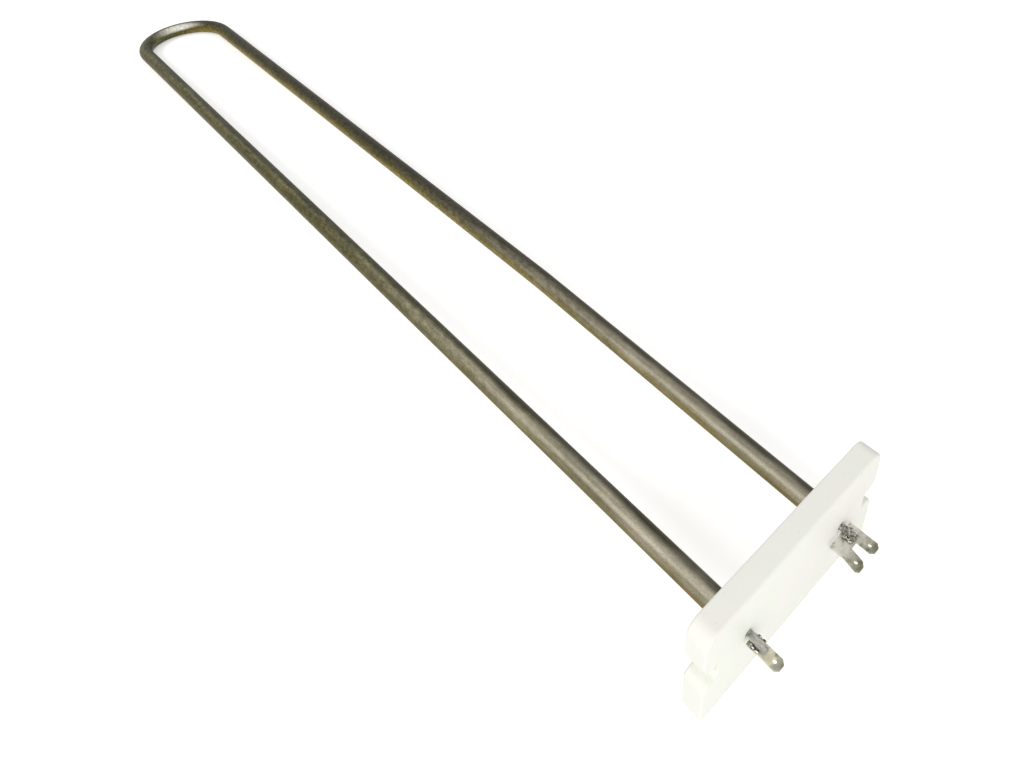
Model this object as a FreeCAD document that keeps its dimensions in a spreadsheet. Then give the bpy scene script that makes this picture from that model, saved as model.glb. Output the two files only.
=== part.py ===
import FreeCAD, Part
import math
import os

import Sketcher

# Tubular heating element: a metal-sheathed hairpin carried by a ceramic end block, with
# flat terminals welded to the two pins that come out of the block's front face.
# Millimetres. X runs along the block, Y along the legs towards the bend, Z is up.
# The origin is on the block's back face, midway between the two holes, on the tube axis.

doc = FreeCAD.newDocument("tubular_heating_element")

# Driving dimensions

SIZES = [
    ("block_length", 84.2, "end block, end to end"),
    ("block_height", 44.2, "end block, foot to crown"),
    ("hole_rise", 1.9, "the two holes above the middle of the block's height"),
    ("block_thickness", 7.4, "end block, back face to front face"),
    ("crown_radius", 5.0, "rounding of the two upper corners"),
    ("foot_radius", 1.5, "rounding of the two lower corners"),
    ("notch_width", 7.4, "height of the notch in each end"),
    ("notch_drop", 1.2, "middle of the notches below the two holes"),
    ("notch_depth", 6.0, "how far each notch runs in"),
    ("upper_lip", 4.0, "rounding of the end above a notch"),
    ("lower_lip", 3.0, "rounding of the end below a notch"),
    ("notch_floor", 1.2, "rounding in the two inner corners of a notch"),
    ("edge_round", 0.8, "rounding along the front face"),
    ("back_chamfer", 0.5, "bevel along the back face"),
    ("hole_pitch", 46.0, "between the two holes of the block"),
    ("seat_depth", 4.0, "how far the sheath sits in the block"),
    ("seat_clearance", 0.15, "between sheath and seat, all round"),
    ("pin_clearance", 0.15, "between pin and its hole, all round"),
    ("sheath_diameter", 8.0, "outside of the sheath"),
    ("sheath_wall", 0.8, "wall of the sheath"),
    ("axis_reach", 506.3, "back face of the block to the tube axis at the bend"),
    ("leg_splay", 3.6, "sideways set of the second leg"),
    ("splay_start", 0.5, "where the second leg starts to lean out"),
    ("splay_end", 147.0, "where the second leg is straight again"),
    ("splay_radius", 250.0, "radius of the two slight bends of the second leg"),
    ("pin_diameter", 2.6, "terminal pins"),
    ("pin_inside", 62.0, "pin length behind the block's back face"),
    ("single_pin_reach", 6.5, "pin of the single terminal in front of the block"),
    ("twin_pin_reach", 5.6, "pin of the twin terminal in front of the block"),
    ("coil_diameter", 3.6, "outside of the wound resistance wire"),
    ("bush_length", 4.0, "insulating bush in each mouth of the sheath"),
    ("tab_thickness", 0.8, "sheet of both terminals"),
    ("tab_gap", 1.0, "between the block's front face and the terminals"),
    ("tab_reach", 11.8, "block's front face to the tips of the blades"),
    ("tip_chamfer", 1.1, "corners of each blade's tip"),
    ("detent_diameter", 1.3, "hole in each blade"),
    ("detent_setback", 2.4, "hole centre from the blade's tip"),
    ("single_width", 4.2, "blade of the single terminal"),
    ("twin_width", 4.3, "each blade of the twin terminal"),
    ("twin_pitch", 7.1, "between the two blades' middles"),
    ("twin_root", 5.1, "length of the strip that joins the two blades"),
    ("twin_offset", -1.6, "middle of the twin terminal from its pin"),
    ("twin_spread", 1.3, "sideways set of the inner blade's tip"),
    ("bead_radius", 0.95, "lumps of weld beside the pins"),
    ("bead_pitch", 1.6, "between two lumps of weld"),
    ("bead_start", 2.7, "first lump from the block's front face"),
]

sheet = doc.addObject("Spreadsheet::Sheet", "sizes")
for row, (alias, number, note) in enumerate(SIZES, start=1):
    sheet.set("A%d" % row, alias)
    sheet.set("B%d" % row, str(number))
    sheet.set("C%d" % row, note)
    sheet.setAlias("B%d" % row, alias)
doc.recompute()

BEADS = 2
BEAD_SWELL = [1.0, 0.9]
COIL_SIDES = 8


def size(expression):
    """Value of an expression over the sheet's names, such as 'hole_pitch / 2'."""
    answer = sheet.evalExpression(expression)
    return float(getattr(answer, "Value", answer))


def bound(expression):
    """The same expression as another object has to write it."""
    words = []
    names = set(alias for alias, number, note in SIZES)
    for word in expression.replace("(", " ( ").replace(")", " ) ").split():
        words.append("sizes." + word if word in names else word)
    return " ".join(words)


# Helpers for bodies and sketches

def new_body(name):
    body = doc.addObject("PartDesign::Body", name)
    body.Label = name
    return body


def origin_plane(body, role):
    return [item for item in body.Origin.OriginFeatures if item.Role == role][0]


def new_sketch(body, name, role, offset="0"):
    """Sketch on one of the body's planes, moved along the plane's normal."""
    sketch = body.newObject("Sketcher::SketchObject", name)
    sketch.AttachmentSupport = [(origin_plane(body, role), "")]
    sketch.MapMode = "FlatFace"
    if offset != "0":
        sketch.setExpression("AttachmentOffset.Base.z", bound(offset))
    return sketch


def drive(sketch, constraint, expression):
    """Adds a dimension and binds it to the sheet."""
    index = sketch.addConstraint(constraint)
    sketch.setExpression("Constraints[%d]" % index, bound(expression))
    return index


def pin_point(sketch, geometry, position, x, y):
    """Holds a point of the sketch at two expressions, measured from the origin."""
    drive(sketch, Sketcher.Constraint("DistanceX", -1, 1, geometry, position, size(x)), x)
    drive(sketch, Sketcher.Constraint("DistanceY", -1, 1, geometry, position, size(y)), y)


def polygon(sketch, corners):
    """Closed outline with straight sides, each corner given as two expressions."""
    points = [FreeCAD.Vector(size(x), size(y), 0) for x, y in corners]
    count = len(points)
    for index in range(count):
        sketch.addGeometry(Part.LineSegment(points[index], points[(index + 1) % count]), False)
    for index in range(count):
        sketch.addConstraint(Sketcher.Constraint("Coincident", index, 2, (index + 1) % count, 1))
    for index, (x, y) in enumerate(corners):
        pin_point(sketch, index, 1, x, y)


def circle(sketch, x, y, radius):
    centre = FreeCAD.Vector(size(x), size(y), 0)
    index = sketch.addGeometry(Part.Circle(centre, FreeCAD.Vector(0, 0, 1), size(radius)), False)
    drive(sketch, Sketcher.Constraint("Radius", index, size(radius)), radius)
    pin_point(sketch, index, 3, x, y)


def pad(body, name, sketch, length, reversed_side=False):
    feature = body.newObject("PartDesign::Pad", name)
    feature.Profile = sketch
    feature.setExpression("Length", bound(length))
    feature.Reversed = reversed_side
    sketch.Visibility = False
    doc.recompute()
    return feature


def pocket(body, name, sketch, length=None, reversed_side=False):
    """Cut to a depth, or through everything on both sides where no depth is given."""
    feature = body.newObject("PartDesign::Pocket", name)
    feature.Profile = sketch
    if length is None:
        feature.Type = "ThroughAll"
        feature.Midplane = True
    else:
        feature.setExpression("Length", bound(length))
    feature.Reversed = reversed_side
    sketch.Visibility = False
    doc.recompute()
    return feature


def edges_where(feature, test):
    """Names of the edges whose ends and middle all pass a test."""
    names = []
    for index, edge in enumerate(feature.Shape.Edges, start=1):
        middle = edge.valueAt((edge.FirstParameter + edge.LastParameter) / 2)
        points = [vertex.Point for vertex in edge.Vertexes] + [middle]
        if all(test(point) for point in points):
            names.append("Edge%d" % index)
    return names


def dress(body, kind, name, base, edges, amount):
    """Fillet or chamfer on chosen edges."""
    feature = body.newObject("PartDesign::" + kind, name)
    feature.Base = (base, edges)
    feature.setExpression("Radius" if kind == "Fillet" else "Size", bound(amount))
    doc.recompute()
    return feature


def near(value, target):
    return abs(value - target) < 0.001


# Route of the tube axis

def leaning_angle():
    """Angle of the second leg between its two slight bends."""
    radius = size("splay_radius")
    across = 2 * radius - size("leg_splay")
    along = size("splay_end - splay_start")
    slant = math.hypot(across, along)
    return math.atan2(along, across) - math.acos(2 * radius / slant)


def draw_route(sketch, first_end, second_end):
    """Axis of the hairpin in plan, from the first leg's end round to the second leg's end."""
    first_x = size("0 - hole_pitch / 2")
    second_x = size("hole_pitch / 2")
    far_x = size("hole_pitch / 2 + leg_splay")
    bend_radius = size("(hole_pitch + leg_splay) / 2")
    bend_y = size("axis_reach") - bend_radius
    radius = size("splay_radius")
    start_y = size("splay_start")
    end_y = size("splay_end")
    lean = leaning_angle()
    outward = FreeCAD.Vector(math.cos(lean), -math.sin(lean), 0)
    up = FreeCAD.Vector(0, 0, 1)

    def at(x, y):
        return FreeCAD.Vector(x, y, 0)

    bend_centre = at(first_x + bend_radius, bend_y)
    far_centre = at(far_x - radius, end_y)
    near_centre = at(second_x + radius, start_y)
    far_tangent = far_centre + outward * radius
    near_tangent = near_centre - outward * radius

    sketch.addGeometry(Part.LineSegment(at(first_x, size(first_end)), at(first_x, bend_y)), False)
    bend = Part.Circle(bend_centre, up, bend_radius)
    sketch.addGeometry(Part.ArcOfCircle(bend, 0, math.pi), False)
    sketch.addGeometry(Part.LineSegment(at(far_x, bend_y), at(far_x, end_y)), False)
    far_bend = Part.Circle(far_centre, up, radius)
    sketch.addGeometry(Part.ArcOfCircle(far_bend, -lean, 0), False)
    sketch.addGeometry(Part.LineSegment(far_tangent, near_tangent), False)
    near_bend = Part.Circle(near_centre, up, radius)
    sketch.addGeometry(Part.ArcOfCircle(near_bend, math.pi - lean, math.pi), False)
    sketch.addGeometry(Part.LineSegment(at(second_x, start_y), at(second_x, size(second_end))), False)

    first, turn, far, far_turn, leaning, near_turn, last = range(7)
    joints = [
        (first, 2, turn, 2),
        (turn, 1, far, 1),
        (far, 2, far_turn, 2),
        (far_turn, 1, leaning, 1),
        (leaning, 2, near_turn, 1),
        (near_turn, 2, last, 1),
    ]
    for one, one_end, other, other_end in joints:
        sketch.addConstraint(Sketcher.Constraint("Tangent", one, one_end, other, other_end))
    for line in (first, far, last):
        sketch.addConstraint(Sketcher.Constraint("Vertical", line))
    pin_point(sketch, first, 1, "0 - hole_pitch / 2", first_end)
    pin_point(sketch, last, 2, "hole_pitch / 2", second_end)
    height = "axis_reach - ( hole_pitch + leg_splay ) / 2"
    drive(sketch, Sketcher.Constraint("DistanceY", -1, 1, turn, 3, bend_y), height)
    drive(sketch, Sketcher.Constraint("Radius", turn, bend_radius), "( hole_pitch + leg_splay ) / 2")
    drive(sketch, Sketcher.Constraint("DistanceY", -1, 1, far_turn, 3, end_y), "splay_end")
    drive(sketch, Sketcher.Constraint("DistanceY", -1, 1, near_turn, 3, start_y), "splay_start")
    drive(sketch, Sketcher.Constraint("Radius", far_turn, radius), "splay_radius")
    drive(sketch, Sketcher.Constraint("Radius", near_turn, radius), "splay_radius")
    return 7


# Sheath: one length of drawn tube, bent into a hairpin

def build_sheath():
    body = new_body("sheath_tube")
    route = new_sketch(body, "sheath_route", "XY_Plane")
    count = draw_route(route, "0 - seat_depth", "0 - seat_depth")
    section = new_sketch(body, "sheath_section", "XZ_Plane", "seat_depth")
    circle(section, "0 - hole_pitch / 2", "0", "sheath_diameter / 2")
    circle(section, "0 - hole_pitch / 2", "0", "sheath_diameter / 2 - sheath_wall")
    doc.recompute()
    pipe = body.newObject("PartDesign::AdditivePipe", "sheath_pipe")
    pipe.Profile = section
    pipe.Spine = (route, ["Edge%d" % number for number in range(1, count + 1)])
    route.Visibility = False
    section.Visibility = False
    doc.recompute()
    return body


# What lies inside the sheath, swept along the same axis and cut to length

def build_core_route():
    """Axis from the tip of the first pin to the tip of the second."""
    route = doc.addObject("Sketcher::SketchObject", "core_route")
    draw_route(route, "0 - block_thickness - single_pin_reach", "0 - block_thickness - twin_pin_reach")
    route.Visibility = False
    doc.recompute()
    return route


def sweep(name, route, radius, flats=0):
    """Bar of a given radius along the whole core route, round unless flats are asked for."""
    if flats:
        ring = doc.addObject("Part::RegularPolygon", name + "_section")
        ring.Polygon = flats
        ring.setExpression("Circumradius", bound(radius))
    else:
        ring = doc.addObject("Part::Circle", name + "_section")
        ring.setExpression("Radius", bound(radius))
    ring.Placement = FreeCAD.Placement(FreeCAD.Vector(), FreeCAD.Rotation(FreeCAD.Vector(1, 0, 0), -90))
    ring.setExpression("Placement.Base.x", bound("0 - hole_pitch / 2"))
    ring.setExpression("Placement.Base.y", bound("0 - block_thickness - single_pin_reach"))
    bar = doc.addObject("Part::Sweep", name)
    bar.Sections = [ring]
    bar.Spine = (route, ["Edge%d" % number for number in range(1, 8)])
    bar.Solid = True
    bar.Frenet = False
    ring.Visibility = False
    bar.Visibility = False
    doc.recompute()
    return bar


def slab(name, low, high):
    """Box between two corners, each given as three expressions."""
    box = doc.addObject("Part::Box", name)
    for side, a, b in zip(("Length", "Width", "Height"), low, high):
        box.setExpression(side, bound("( %s ) - ( %s )" % (b, a)))
    for axis, a in zip("xyz", low):
        box.setExpression("Placement.Base." + axis, bound(a))
    box.Visibility = False
    return box


def common(name, one, other):
    feature = doc.addObject("Part::Common", name)
    feature.Base = one
    feature.Tool = other
    feature.Label = name
    return feature


def cut(name, one, other):
    feature = doc.addObject("Part::Cut", name)
    feature.Base = one
    feature.Tool = other
    feature.Label = name
    return feature


def fuse(name, shapes):
    feature = doc.addObject("Part::MultiFuse", name)
    feature.Shapes = shapes
    feature.Visibility = False
    return feature


HALF_BLOCK = "block_length / 2"
CORE_HEIGHT = "sheath_diameter"


def build_core():
    """Terminal pins, resistance coil, end bushes and the packed insulation between them."""
    route = build_core_route()
    pin_bar = sweep("pin_bar", route, "pin_diameter / 2")
    coil_bar = sweep("coil_bar", route, "coil_diameter / 2", COIL_SIDES)
    bore_bar = sweep("bore_bar", route, "sheath_diameter / 2 - sheath_wall")

    below = "0 - " + CORE_HEIGHT
    front = "0 - 2 * block_thickness - single_pin_reach - twin_pin_reach"
    far = "axis_reach + sheath_diameter"
    left = "0 - " + HALF_BLOCK
    first_side = slab("first_side", (left, front, below), ("0", "pin_inside", CORE_HEIGHT))
    second_side = slab("second_side", ("0", front, below), (HALF_BLOCK, "pin_inside", CORE_HEIGHT))
    heated = slab("heated_length", (left, "pin_inside", below), (HALF_BLOCK, far, CORE_HEIGHT))
    behind = "bush_length - seat_depth"
    packed = slab("packed_length", (left, behind, below), (HALF_BLOCK, far, CORE_HEIGHT))

    single_pin = common("single_pin", pin_bar, first_side)
    twin_pin = common("twin_pin", pin_bar, second_side)
    coil = common("resistance_coil", coil_bar, heated)
    space = common("space_in_sheath", bore_bar, packed)
    space.Visibility = False
    inner = fuse("pins_and_coil", [single_pin, twin_pin, coil])
    packing = cut("magnesia_packing", space, inner)
    doc.recompute()
    return [single_pin, twin_pin, coil, packing]


def build_bush(name, x):
    """Insulating bush that closes one mouth of the sheath round its pin."""
    body = new_body(name)
    section = new_sketch(body, name + "_section", "XZ_Plane", "seat_depth")
    circle(section, x, "0", "sheath_diameter / 2 - sheath_wall")
    circle(section, x, "0", "pin_diameter / 2")
    pad(body, name + "_pad", section, "bush_length", True)
    return body


# End block: one pressed ceramic piece with a notch in each end

def build_block():
    body = new_body("ceramic_block")
    half_x = "block_length / 2"
    foot = "0 - block_height / 2 - hole_rise"
    crown = "block_height / 2 - hole_rise"
    outline = new_sketch(body, "block_outline", "XZ_Plane")
    left = "0 - " + half_x
    polygon(outline, [(left, foot), (half_x, foot), (half_x, crown), (left, crown)])
    solid = pad(body, "block_pad", outline, "block_thickness")

    notch = new_sketch(body, "notch_outline", "XZ_Plane")
    floor = "block_length / 2 - notch_depth"
    low = "0 - notch_drop - notch_width / 2"
    high = "notch_width / 2 - notch_drop"
    past = "block_length / 2 + notch_depth"
    polygon(notch, [(floor, low), (past, low), (past, high), (floor, high)])
    cut_out = pocket(body, "right_notch", notch)
    mirrored = body.newObject("PartDesign::Mirrored", "left_notch")
    mirrored.Originals = [cut_out]
    mirrored.MirrorPlane = (origin_plane(body, "YZ_Plane"), [""])
    body.Tip = mirrored
    doc.recompute()

    solid = mirrored
    roundings = [
        ("crown_rounding", half_x, crown, "crown_radius"),
        ("foot_rounding", half_x, foot, "foot_radius"),
        ("upper_lip_rounding", half_x, high, "upper_lip"),
        ("lower_lip_rounding", half_x, low, "lower_lip"),
        ("upper_floor_rounding", floor, high, "notch_floor"),
        ("lower_floor_rounding", floor, low, "notch_floor"),
    ]
    for name, out, level, radius in roundings:
        x, z = size(out), size(level)
        corners = edges_where(solid, lambda p: near(abs(p.x), x) and near(p.z, z))
        solid = dress(body, "Fillet", name, solid, corners, radius)
    front = -size("block_thickness")
    rims = edges_where(solid, lambda p: near(p.y, front))
    solid = dress(body, "Fillet", "face_rounding", solid, rims, "edge_round")
    rims = edges_where(solid, lambda p: near(p.y, 0))
    solid = dress(body, "Chamfer", "back_bevel", solid, rims, "back_chamfer")

    seats = new_sketch(body, "seat_circles", "XZ_Plane")
    holes = new_sketch(body, "pin_circles", "XZ_Plane")
    for x in ("0 - hole_pitch / 2", "hole_pitch / 2"):
        circle(seats, x, "0", "sheath_diameter / 2 + seat_clearance")
        circle(holes, x, "0", "pin_diameter / 2 + pin_clearance")
    pocket(body, "tube_seats", seats, "seat_depth", True)
    pocket(body, "pin_holes", holes)
    return body


# Terminals: sheet blades that lie under the pins

def blade_tips(body, feature, name):
    """Chamfers the corners at the far end of each blade."""
    tip = -size("block_thickness + tab_reach")
    corners = edges_where(feature, lambda p: near(p.y, tip))
    upright = []
    for edge in corners:
        shape = feature.Shape.getElement(edge)
        ends = [vertex.Point for vertex in shape.Vertexes]
        if near(ends[0].x, ends[1].x):
            upright.append(edge)
    return dress(body, "Chamfer", name, feature, upright, "tip_chamfer")


def build_single_tab():
    body = new_body("single_tab")
    outline = new_sketch(body, "single_outline", "XY_Plane", "0 - pin_diameter / 2")
    root = "0 - block_thickness - tab_gap"
    tip = "0 - block_thickness - tab_reach"
    left = "0 - hole_pitch / 2 - single_width / 2"
    right = "0 - hole_pitch / 2 + single_width / 2"
    polygon(outline, [(left, tip), (right, tip), (right, root), (left, root)])
    blade = pad(body, "single_blade", outline, "tab_thickness", True)
    blade_tips(body, blade, "single_tip")
    hole = new_sketch(body, "single_detent_circle", "XY_Plane")
    circle(hole, "0 - hole_pitch / 2", tip + " + detent_setback", "detent_diameter / 2")
    pocket(body, "single_detent", hole)
    return body


def build_twin_tab():
    body = new_body("twin_tab")
    outline = new_sketch(body, "twin_outline", "XY_Plane", "0 - pin_diameter / 2")
    root = "0 - block_thickness - tab_gap"
    crotch = root + " - twin_root"
    tip = "0 - block_thickness - tab_reach"
    middle = "hole_pitch / 2 + twin_offset"
    outer = "twin_pitch / 2 + twin_width / 2"
    inner = "twin_pitch / 2 - twin_width / 2"
    left_out = middle + " - ( " + outer + " )"
    left_in = middle + " - ( " + inner + " )"
    right_in = middle + " + ( " + inner + " )"
    right_out = middle + " + ( " + outer + " )"
    polygon(outline, [
        (left_out + " - twin_spread", tip),
        (left_in + " - twin_spread", tip),
        (left_in, crotch),
        (right_in, crotch),
        (right_in, tip),
        (right_out, tip),
        (right_out, root),
        (left_out, root),
        (left_out, crotch),
    ])
    fork = pad(body, "twin_blades", outline, "tab_thickness", True)
    blade_tips(body, fork, "twin_tips")
    holes = new_sketch(body, "twin_detent_circles", "XY_Plane")
    for x in (middle + " - twin_pitch / 2 - twin_spread / 2", middle + " + twin_pitch / 2"):
        circle(holes, x, tip + " + detent_setback", "detent_diameter / 2")
    pocket(body, "twin_detents", holes)
    return body


# Weld: a row of lumps in the corner between pin and blade, on each side of a pin

def build_weld(name, x, side, pin, tab):
    lumps = []
    for number in range(BEADS):
        lump = doc.addObject("Part::Sphere", "%s_lump_%d" % (name, number + 1))
        lump.setExpression("Radius", bound("bead_radius") + " * %.2f" % BEAD_SWELL[number])
        sideways = x + " %s ( pin_diameter / 2 + bead_radius / 5 )" % side
        lump.setExpression("Placement.Base.x", bound(sideways))
        along = "0 - block_thickness - bead_start - %d * bead_pitch" % number
        lump.setExpression("Placement.Base.y", bound(along))
        lump.setExpression("Placement.Base.z", bound("bead_radius / 3 - pin_diameter / 2"))
        lump.Visibility = False
        lumps.append(lump)
    row = fuse(name + "_row", lumps)
    above = cut(name + "_above_blade", row, tab)
    above.Visibility = False
    weld = cut(name, above, pin)
    doc.recompute()
    return weld


sheath = build_sheath()
single_pin, twin_pin, coil, packing = build_core()
single_bush = build_bush("single_bush", "0 - hole_pitch / 2")
twin_bush = build_bush("twin_bush", "hole_pitch / 2")
block = build_block()
single_tab = build_single_tab()
twin_tab = build_twin_tab()
welds = [
    build_weld("single_weld_left", "0 - hole_pitch / 2", "-", single_pin, single_tab),
    build_weld("single_weld_right", "0 - hole_pitch / 2", "+", single_pin, single_tab),
    build_weld("twin_weld_left", "hole_pitch / 2", "-", twin_pin, twin_tab),
    build_weld("twin_weld_right", "hole_pitch / 2", "+", twin_pin, twin_tab),
]
pieces = [sheath, single_pin, twin_pin, coil, packing, single_bush, twin_bush]
pieces += [block, single_tab, twin_tab] + welds

# Every object is sound before anything is written

doc.recompute()
for item in doc.Objects:
    if "Invalid" in item.State or "Error" in item.State:
        raise RuntimeError("failed: " + item.Name)
for piece in pieces:
    if piece.Shape.isNull() or not piece.Shape.isValid():
        raise RuntimeError("no sound shape: " + piece.Label)

os.makedirs("parts", exist_ok=True)
for piece in pieces:
    piece.Shape.exportStep("parts/%s.step" % piece.Label)
    print("%-20s solids %d  volume %.1f" % (piece.Label, len(piece.Shape.Solids), piece.Shape.Volume))
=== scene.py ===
import math

import bpy
from mathutils import Matrix, Vector

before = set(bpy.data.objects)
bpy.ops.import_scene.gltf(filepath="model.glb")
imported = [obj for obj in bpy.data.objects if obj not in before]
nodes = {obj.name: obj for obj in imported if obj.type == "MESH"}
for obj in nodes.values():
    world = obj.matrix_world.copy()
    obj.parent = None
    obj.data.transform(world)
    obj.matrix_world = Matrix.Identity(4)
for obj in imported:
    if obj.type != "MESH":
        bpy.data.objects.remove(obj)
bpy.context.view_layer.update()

# Sizes repeated from the source, in metres. X runs along the block, and Y along the legs from the
# block's back face to the bend. The foot is this deep under the tube axis and this far in from that face

FOOT_DEPTH = 0.0240
FOOT_EDGE = 0.0005
SHEATH_RADIUS = 0.004
AXIS_REACH = 0.5063

# Places in metres along Y between which the blades' tones run, and how far blotches shift them

BLADE_START = -0.0050
BLADE_END = -0.0190
BLADE_SHIFT = 0.006

# Places in metres where the sheath's finish changes: from the left leg's tones to the right leg's
# along X, whose painted light and shade differ, from beige with a painted highlight stripe to olive
# along Y, and the painted highlight on the bend, which has a middle in X, fades from one distance to
# another beside it, and comes in along Y

LEFT_TONES_END = -0.010
RIGHT_TONES_START = 0.014
OLIVE_START = 0.02
OLIVE_FULL = 0.33
OLIVE_SHIFT = 0.12
SPOT_MIDDLE = 0.004
SPOT_INNER = 0.002
SPOT_OUTER = 0.019
SPOT_START = 0.488
SPOT_FULL = 0.499

# How far patches shift the sheath's tones round the tube, where facing a side runs from -1 to 1

SIDE_SHIFT = 0.6

# Height of the fine bumps that several finishes share, in metres

FINE_BUMP = 0.00005

# Directions of the object: across the legs to their lower left side, and up and towards the block

LOW_LEFT = (-0.70, 0.0, -0.71)
UP_TO_BLOCK = (0.0, -0.70, 0.71)

# Floor and world: reach and gap in metres, then strengths of light, where 1 is white

FLOOR_REACH = 6.0
FLOOR_GAP = 0.00005
FLOOR_GLOW = 0.43
WORLD_SEEN = 0.80
WORLD_LIGHT = 0.60

# Camera: lens and sensor in millimetres, place in metres, turn in degrees

LENS = 29.3084
SENSOR_WIDTH = 36.0
SHIFT_X = -0.08594
SHIFT_Y = -0.24805
CAMERA_PLACE = (-0.129771, -0.069413, 0.249765)
CAMERA_TURN = (56.5124, 1.4360, -43.0474)
NEAREST = 0.01
FURTHEST = 50.0

# Sockets of a colour Mix node, by number because its other types share their names

MIX_FACTOR = 0
MIX_A = 6
MIX_B = 7
MIX_RESULT = 2


# Node helpers

class Tree:
    """Small helper round a node tree. Its methods take sockets or plain values, and give sockets."""

    def __init__(self, tree):
        self.tree = tree
        self.tree.nodes.clear()

    def add(self, kind, **values):
        node = self.tree.nodes.new(kind)
        for key, value in values.items():
            setattr(node, key, value)
        return node

    def feed(self, socket, value):
        """Links a socket to another, or sets it to a number or to a colour of three parts."""
        if isinstance(value, bpy.types.NodeSocket):
            self.tree.links.new(value, socket)
        elif isinstance(value, tuple):
            socket.default_value = (*value, 1)
        else:
            socket.default_value = value

    def calculate(self, operation, *values):
        node = self.add("ShaderNodeMath", operation=operation)
        for socket, value in zip(node.inputs, values):
            self.feed(socket, value)
        return node.outputs[0]

    def light(self, kind, colour, strength):
        node = self.add(kind)
        self.feed(node.inputs["Color"], colour)
        self.feed(node.inputs["Strength"], strength)
        return node.outputs[0]

    def seen_directly(self):
        """1 for camera rays, reflections and rays through glass, and 0 for diffuse light."""
        ray = self.add("ShaderNodeLightPath").outputs
        reflected = self.calculate("MAXIMUM", ray["Is Camera Ray"], ray["Is Glossy Ray"])
        return self.calculate("MAXIMUM", reflected, ray["Is Transmission Ray"])

    def choose(self, factor, first, second):
        """The first shader where the factor is 0, and the second where it is 1."""
        node = self.add("ShaderNodeMixShader")
        for socket, value in zip(node.inputs, (factor, first, second)):
            self.feed(socket, value)
        return node.outputs[0]


class Surface(Tree):
    """One material, with its noises, ramps and bumps in the object's own space."""

    def __init__(self, name, metallic=0.0, specular=0.5):
        self.material = bpy.data.materials.new(name)
        self.material.use_nodes = True
        super().__init__(self.material.node_tree)
        self.out = self.add("ShaderNodeOutputMaterial")
        self.shader = self.add("ShaderNodeBsdfPrincipled")
        self.feed(self.out.inputs["Surface"], self.shader.outputs["BSDF"])
        self.feed(self.shader.inputs["Metallic"], metallic)
        self.feed(self.shader.inputs["Specular IOR Level"], specular)
        coords = self.add("ShaderNodeTexCoord")
        self.position = coords.outputs["Object"]
        self.normal = coords.outputs["Normal"]

    def along(self, axis):
        """Position in the object along one axis, in metres."""
        node = self.add("ShaderNodeSeparateXYZ")
        self.feed(node.inputs["Vector"], self.position)
        return node.outputs[axis]

    def facing(self, direction):
        """How much the surface faces a direction of the object, from -1 to 1."""
        node = self.add("ShaderNodeVectorMath", operation="DOT_PRODUCT")
        self.feed(node.inputs[0], self.normal)
        node.inputs[1].default_value = Vector(direction).normalized()
        return node.outputs["Value"]

    def noise(self, scale, detail=3.0, rough=0.6, stretch=(1, 1, 1)):
        """Noise with about scale grains in a metre, drawn out along an axis whose stretch is under 1."""
        mapping = self.add("ShaderNodeMapping")
        self.feed(mapping.inputs["Vector"], self.position)
        mapping.inputs["Scale"].default_value = stretch
        node = self.add("ShaderNodeTexNoise")
        self.feed(node.inputs["Vector"], mapping.outputs["Vector"])
        self.feed(node.inputs["Scale"], scale)
        self.feed(node.inputs["Detail"], detail)
        self.feed(node.inputs["Roughness"], rough)
        return node.outputs["Fac"]

    def ramp(self, source, stops):
        """Colour ramp with (position, colour) stops."""
        node = self.add("ShaderNodeValToRGB")
        elements = node.color_ramp.elements
        elements[0].position = stops[0][0]
        elements[1].position = stops[-1][0]
        for position, _ in stops[1:-1]:
            elements.new(position)
        for element, (_, colour) in zip(elements, stops):
            element.color = (*colour, 1)
        self.feed(node.inputs["Fac"], source)
        return node.outputs["Color"]

    def span(self, source, low, high, new_low=0.0, new_high=1.0, shape="SMOOTHSTEP"):
        """Maps the values from low to high to a new range, which they don't leave."""
        node = self.add("ShaderNodeMapRange", interpolation_type=shape)
        self.feed(node.inputs["Value"], source)
        self.feed(node.inputs["From Min"], low)
        self.feed(node.inputs["From Max"], high)
        self.feed(node.inputs["To Min"], new_low)
        self.feed(node.inputs["To Max"], new_high)
        return node.outputs["Result"]

    def mix(self, factor, a, b, blend="MIX"):
        node = self.add("ShaderNodeMix", data_type="RGBA", blend_type=blend)
        self.feed(node.inputs[MIX_FACTOR], factor)
        self.feed(node.inputs[MIX_A], a)
        self.feed(node.inputs[MIX_B], b)
        return node.outputs[MIX_RESULT]

    def product(self, a, b):
        """Two colours multiplied."""
        return self.mix(1.0, a, b, "MULTIPLY")

    def colour(self, value):
        self.feed(self.shader.inputs["Base Color"], value)

    def roughness(self, source, low, high):
        """Roughness that follows the middle half of a noise."""
        self.feed(self.shader.inputs["Roughness"], self.span(source, 0.25, 0.75, low, high))

    def bump(self, source, height, strength, under=None):
        """Bump of a height in metres, laid over an earlier bump where one is given."""
        node = self.add("ShaderNodeBump")
        self.feed(node.inputs["Strength"], strength)
        self.feed(node.inputs["Distance"], height)
        self.feed(node.inputs["Height"], source)
        if under is not None:
            self.feed(node.inputs["Normal"], under)
        self.feed(self.shader.inputs["Normal"], node.outputs["Normal"])
        return node.outputs["Normal"]


def paint(names, material):
    for name in names:
        mesh = nodes[name].data
        mesh.materials.clear()
        mesh.materials.append(material)


# Sheath tones across the tube, from its upper right side to its lower left, near the block and far
# from it. They were set against the photograph and carry some of its light: painted shade on the upper
# right side, a painted highlight stripe in the near tones, and painted light and shade that differ
# between the legs

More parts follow.
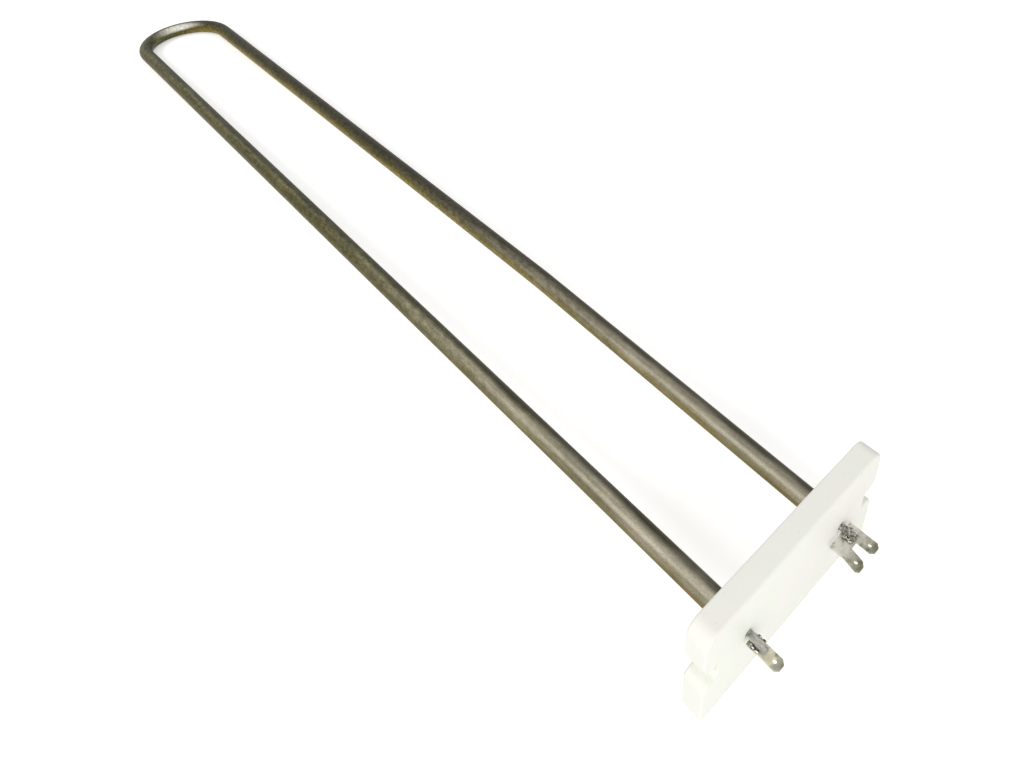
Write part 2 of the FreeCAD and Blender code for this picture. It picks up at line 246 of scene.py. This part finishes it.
NEAR_RIGHT = [
    (0.02, (0.050, 0.047, 0.028)),
    (0.08, (0.095, 0.090, 0.060)),
    (0.22, (0.315, 0.296, 0.238)),
    (0.36, (0.345, 0.325, 0.258)),
    (0.50, (0.400, 0.376, 0.300)),
    (0.64, (0.340, 0.312, 0.220)),
    (0.78, (0.222, 0.190, 0.072)),
    (0.92, (0.125, 0.092, 0.016)),
]
NEAR_LEFT = [
    (0.02, (0.050, 0.047, 0.028)),
    (0.10, (0.170, 0.160, 0.120)),
    (0.22, (0.430, 0.405, 0.330)),
    (0.36, (0.385, 0.362, 0.290)),
    (0.50, (0.340, 0.316, 0.250)),
    (0.64, (0.270, 0.245, 0.165)),
    (0.78, (0.175, 0.148, 0.055)),
    (0.92, (0.110, 0.078, 0.014)),
]
FAR_LEFT = [
    (0.05, (0.055, 0.053, 0.028)),
    (0.22, (0.140, 0.132, 0.068)),
    (0.50, (0.078, 0.074, 0.024)),
    (0.78, (0.062, 0.054, 0.010)),
    (0.92, (0.150, 0.118, 0.024)),
]
FAR_RIGHT = [
    (0.05, (0.040, 0.037, 0.024)),
    (0.30, (0.050, 0.046, 0.026)),
    (0.50, (0.068, 0.060, 0.025)),
    (0.64, (0.120, 0.101, 0.028)),
    (0.78, (0.178, 0.143, 0.028)),
    (0.92, (0.212, 0.170, 0.040)),
]
RUST = (0.235, 0.125, 0.030)
# Grey of the painted highlight on top of the bend
BEND_HIGHLIGHT_PAINT = (0.80, 0.80, 0.73)


# Mixes the tone ramps by leg and by distance, with their painted shade and painted highlight stripe
def sheath_tones_with_painted_light(m, turn, right_leg, distance):
    near = m.mix(right_leg, m.ramp(turn, NEAR_LEFT), m.ramp(turn, NEAR_RIGHT))
    far = m.mix(right_leg, m.ramp(turn, FAR_LEFT), m.ramp(turn, FAR_RIGHT))
    return m.mix(distance, near, far)


def rust_amount(m, low_left):
    """Freckles of rust on the lower left side."""
    low_side = m.span(low_left, 0.30, 0.90)
    freckles = m.span(m.noise(260, stretch=(1, 0.5, 1)), 0.48, 0.64, 0.0, 0.55)
    return m.calculate("MULTIPLY", low_side, freckles)


def painted_highlight_amount(m, x, y):
    """A painted highlight, grey, on top of the bend, just right of its middle."""
    beside = m.calculate("ABSOLUTE", m.calculate("SUBTRACT", x, SPOT_MIDDLE))
    centred = m.span(beside, SPOT_INNER, SPOT_OUTER, 1.0, 0.0)
    at_bend = m.span(y, SPOT_START, SPOT_FULL)
    top_side = m.span(m.facing(UP_TO_BLOCK), 0.72, 0.99)
    return m.calculate("MULTIPLY", m.calculate("MULTIPLY", centred, at_bend), top_side)


# Oxidised sheath: beige steel near the block, turning to speckled olive, rusty on the lower side, with
# painted shade on the upper right side, a painted highlight stripe near the block and a painted
# highlight on the bend

def sheath_material():
    m = Surface("oxidised_sheath", metallic=0.40, specular=0.22)
    speckle = m.noise(1700, rough=0.7)
    streak = m.noise(520, detail=4.0, stretch=(1, 0.05, 1))
    flakes = m.noise(620, detail=4.0, rough=0.75, stretch=(1, 0.6, 1))
    patch = m.noise(45)
    x = m.along("X")
    y = m.along("Y")
    low_left = m.facing(LOW_LEFT)

    # Place round the tube and the leg choose the painted shade and painted highlight stripe of the tones
    uneven_side = m.calculate("MULTIPLY_ADD", patch, SIDE_SHIFT, low_left)
    usual_shift = SIDE_SHIFT / 2
    turn = m.span(uneven_side, usual_shift - 1, usual_shift + 1, shape="LINEAR")
    right_leg = m.span(x, LEFT_TONES_END, RIGHT_TONES_START)
    uneven_y = m.calculate("MULTIPLY_ADD", patch, OLIVE_SHIFT, y)
    distance = m.span(uneven_y, OLIVE_START, OLIVE_FULL)
    tone = m.mix(rust_amount(m, low_left), sheath_tones_with_painted_light(m, turn, right_leg, distance), RUST)

    soft_grain = m.ramp(speckle, [
        (0.30, (0.78, 0.77, 0.74)),
        (0.50, (1.00, 1.00, 1.00)),
        (0.72, (1.26, 1.22, 1.20)),
    ])
    hard_grain = m.ramp(flakes, [
        (0.34, (0.55, 0.54, 0.48)),
        (0.50, (1.00, 1.00, 1.00)),
        (0.66, (1.60, 1.56, 1.45)),
    ])
    speckled = m.product(tone, m.mix(distance, soft_grain, hard_grain))
    # Painted highlight on top of the bend
    with_bend_highlight = m.mix(painted_highlight_amount(m, x, y), speckled, BEND_HIGHLIGHT_PAINT)
    streaks = m.ramp(streak, [(0.34, (0.74, 0.74, 0.71)), (0.66, (1.24, 1.21, 1.18))])
    m.colour(m.product(with_bend_highlight, streaks))

    m.roughness(streak, 0.38, 0.54)
    fine = m.bump(speckle, FINE_BUMP, 0.35)
    m.bump(streak, FINE_BUMP, 0.45, fine)
    return m.material


# Pressed ceramic: matt, with faint warm and green clouding, small pits and pressing marks

def ceramic_material(name, tone):
    m = Surface(name, specular=0.35)
    cloud = m.noise(45, rough=0.5)
    pits = m.noise(900, detail=2.0)
    red, green, blue = tone
    clouding = m.ramp(cloud, [
        (0.35, (red - 0.02, green + 0.01, blue - 0.03)),
        (0.55, tone),
        (0.75, (red + 0.02, green - 0.01, blue - 0.01)),
    ])
    spots = m.ramp(pits, [(0.24, (0.90, 0.89, 0.84)), (0.34, (1, 1, 1))])
    m.colour(m.product(clouding, spots))
    m.roughness(cloud, 0.50, 0.62)
    soft = m.bump(m.noise(160, rough=0.5), 0.00025, 0.35)
    m.bump(pits, FINE_BUMP, 0.4, soft)
    return m.material


# Tinned blades: tones from root to tip, which lies near 0.8, with warm blotches and a rolled grain

def blade_material(name, tones):
    m = Surface(name, metallic=0.45, specular=0.3)
    grain = m.noise(900, detail=4.0, stretch=(1, 0.15, 1))
    blotch = m.noise(520)
    uneven_y = m.calculate("MULTIPLY_ADD", blotch, BLADE_SHIFT, m.along("Y"))
    reach = m.span(uneven_y, BLADE_END, BLADE_START, 1.0, 0.0, shape="LINEAR")
    marks = m.ramp(blotch, [
        (0.30, (0.60, 0.59, 0.50)),
        (0.46, (1.00, 1.00, 1.00)),
        (0.70, (1.12, 1.12, 1.10)),
    ])
    marked = m.product(m.ramp(reach, tones), marks)
    lines = m.ramp(grain, [(0.30, (0.86, 0.86, 0.84)), (0.70, (1.06, 1.06, 1.04))])
    m.colour(m.product(marked, lines))
    m.roughness(grain, 0.34, 0.52)
    soft = m.bump(blotch, 0.00008, 0.4)
    m.bump(grain, 0.00003, 0.4, soft)
    return m.material


# Pins and welds: drawn steel, and dark weld crust with bright beads of metal

def crust_material(name, tones, scale, height, stretch=(1, 1, 1), metallic=0.6):
    m = Surface(name, metallic=metallic)
    crust = m.noise(scale, stretch=stretch)
    m.colour(m.ramp(crust, tones))
    m.roughness(crust, 0.50, 0.28)
    m.bump(crust, height, 0.7)
    return m.material


# Wound wire and packed powder, both out of sight inside the sheath

def inner_material(name, low, high, scale, metallic, rough):
    m = Surface(name, metallic=metallic)
    fine = m.noise(scale)
    m.colour(m.ramp(fine, [(0.35, low), (0.65, high)]))
    m.roughness(fine, rough - 0.08, rough + 0.08)
    m.bump(fine, FINE_BUMP, 0.4)
    return m.material


sheath = sheath_material()
ceramic = ceramic_material("white_ceramic", (0.895, 0.890, 0.850))
bush = ceramic_material("bush_ceramic", (0.74, 0.70, 0.62))
twin_blade = blade_material("tinned_blade", [
    (0.08, (0.740, 0.740, 0.695)),
    (0.36, (0.640, 0.634, 0.575)),
    (0.56, (0.440, 0.430, 0.350)),
    (0.76, (0.245, 0.238, 0.168)),
])
# The single blade's tones carry a painted highlight, the light cream band near 0.38, and grow darker
# towards the root and the tip
single_blade = blade_material("tinned_blade_painted_highlight", [
    (0.15, (0.520, 0.510, 0.420)),
    (0.38, (0.860, 0.842, 0.720)),
    (0.54, (0.740, 0.700, 0.520)),
    (0.66, (0.420, 0.412, 0.345)),
    (0.80, (0.350, 0.345, 0.295)),
])
pin = crust_material("pin_steel", [
    (0.32, (0.150, 0.148, 0.128)),
    (0.50, (0.400, 0.396, 0.355)),
    (0.68, (0.600, 0.596, 0.550)),
], scale=1300, height=0.00006, stretch=(1, 0.35, 1), metallic=0.5)
crusted_pin = crust_material("pin_steel_crusted", [
    (0.34, (0.070, 0.068, 0.052)),
    (0.48, (0.240, 0.236, 0.200)),
    (0.58, (0.420, 0.414, 0.366)),
    (0.68, (0.760, 0.752, 0.690)),
], scale=1400, height=0.00012)
weld = crust_material("weld_metal", [
    (0.38, (0.022, 0.021, 0.013)),
    (0.47, (0.110, 0.106, 0.082)),
    (0.54, (0.340, 0.332, 0.280)),
    (0.60, (0.900, 0.890, 0.820)),
], scale=1500, height=0.0002)
wire = inner_material("resistance_wire", (0.20, 0.18, 0.15), (0.34, 0.32, 0.28),
                      scale=900, metallic=0.8, rough=0.45)
powder = inner_material("magnesia", (0.78, 0.76, 0.70), (0.90, 0.89, 0.85),
                        scale=1400, metallic=0.0, rough=0.9)

paint(["sheath_tube"], sheath)
paint(["ceramic_block"], ceramic)
paint(["single_bush", "twin_bush"], bush)
paint(["single_tab"], single_blade)
paint(["twin_tab"], twin_blade)
paint(["single_pin"], pin)
paint(["twin_pin"], crusted_pin)
paint([name for name in nodes if "weld" in name], weld)
paint(["resistance_coil"], wire)
paint(["magnesia_packing"], powder)


# Floor: a pale plane under the block's foot and the bend, which the object lies on. Its glow shows
# to the camera and in reflections, and casts no diffuse light

def floor_material():
    m = Surface("floor_paper", specular=0.1)
    m.feed(m.shader.inputs["Roughness"], 0.9)
    fibre = m.noise(300, detail=2.0, rough=0.5)
    m.colour(m.ramp(fibre, [(0.30, (0.890, 0.890, 0.885)), (0.70, (0.915, 0.915, 0.910))]))
    paper = m.shader.outputs["BSDF"]
    glowing = m.add("ShaderNodeAddShader")
    m.feed(glowing.inputs[0], paper)
    m.feed(glowing.inputs[1], m.light("ShaderNodeEmission", (1.0, 1.0, 1.0), FLOOR_GLOW))
    m.feed(m.out.inputs["Surface"], m.choose(m.seen_directly(), paper, glowing.outputs[0]))
    return m.material


def make_floor():
    slope = (FOOT_DEPTH - SHEATH_RADIUS) / (AXIS_REACH + FOOT_EDGE)
    mesh = bpy.data.meshes.new("floor")
    corners = [(-1, -1), (1, -1), (1, 1), (-1, 1)]
    mesh.from_pydata([(FLOOR_REACH * x, FLOOR_REACH * y, 0) for x, y in corners], [], [(0, 1, 2, 3)])
    mesh.materials.append(floor_material())
    floor = bpy.data.objects.new("floor", mesh)
    bpy.context.scene.collection.objects.link(floor)
    foot = Matrix.Translation((0, -FOOT_EDGE, -FOOT_DEPTH - FLOOR_GAP))
    floor.matrix_world = foot @ Matrix.Rotation(math.atan(slope), 4, "X")


# World: pale grey to the camera and in reflections, softer and a little warmer as light

def make_world():
    world = bpy.data.worlds.new("studio")
    bpy.context.scene.world = world
    world.use_nodes = True
    w = Tree(world.node_tree)
    soft = w.light("ShaderNodeBackground", (1.0, 0.995, 0.98), WORLD_LIGHT)
    pale = w.light("ShaderNodeBackground", (1.0, 1.0, 1.0), WORLD_SEEN)
    out = w.add("ShaderNodeOutputWorld")
    w.feed(out.inputs["Surface"], w.choose(w.seen_directly(), soft, pale))


def area_light(name, place, aim, width, height, power, colour):
    data = bpy.data.lights.new(name, "AREA")
    data.shape = "RECTANGLE"
    data.size = width
    data.size_y = height
    data.energy = power
    data.color = colour
    light = bpy.data.objects.new(name, data)
    bpy.context.scene.collection.objects.link(light)
    light.location = place
    back = Vector(place) - Vector(aim)
    light.rotation_mode = "QUATERNION"
    light.rotation_quaternion = back.to_track_quat("Z", "Y")


make_floor()
make_world()
area_light("key", place=(-0.70, 0.44, 0.70), aim=(0.0, 0.03, 0.0), width=0.30, height=0.30,
           power=3.1, colour=(1.0, 0.985, 0.95))
area_light("fill", place=(-0.45, -0.85, 0.45), aim=(0.0, 0.10, 0.0), width=0.80, height=0.60,
           power=4.7, colour=(1.0, 0.995, 0.985))


# Camera where the photograph was taken from

def make_camera():
    data = bpy.data.cameras.new("camera")
    data.sensor_fit = "HORIZONTAL"
    data.sensor_width = SENSOR_WIDTH
    data.lens = LENS
    data.shift_x = SHIFT_X
    data.shift_y = SHIFT_Y
    data.clip_start = NEAREST
    data.clip_end = FURTHEST
    camera = bpy.data.objects.new("camera", data)
    bpy.context.scene.collection.objects.link(camera)
    camera.rotation_euler = [math.radians(angle) for angle in CAMERA_TURN]
    camera.location = CAMERA_PLACE
    bpy.context.scene.camera = camera


make_camera()
bpy.context.scene.view_settings.view_transform = "Standard"
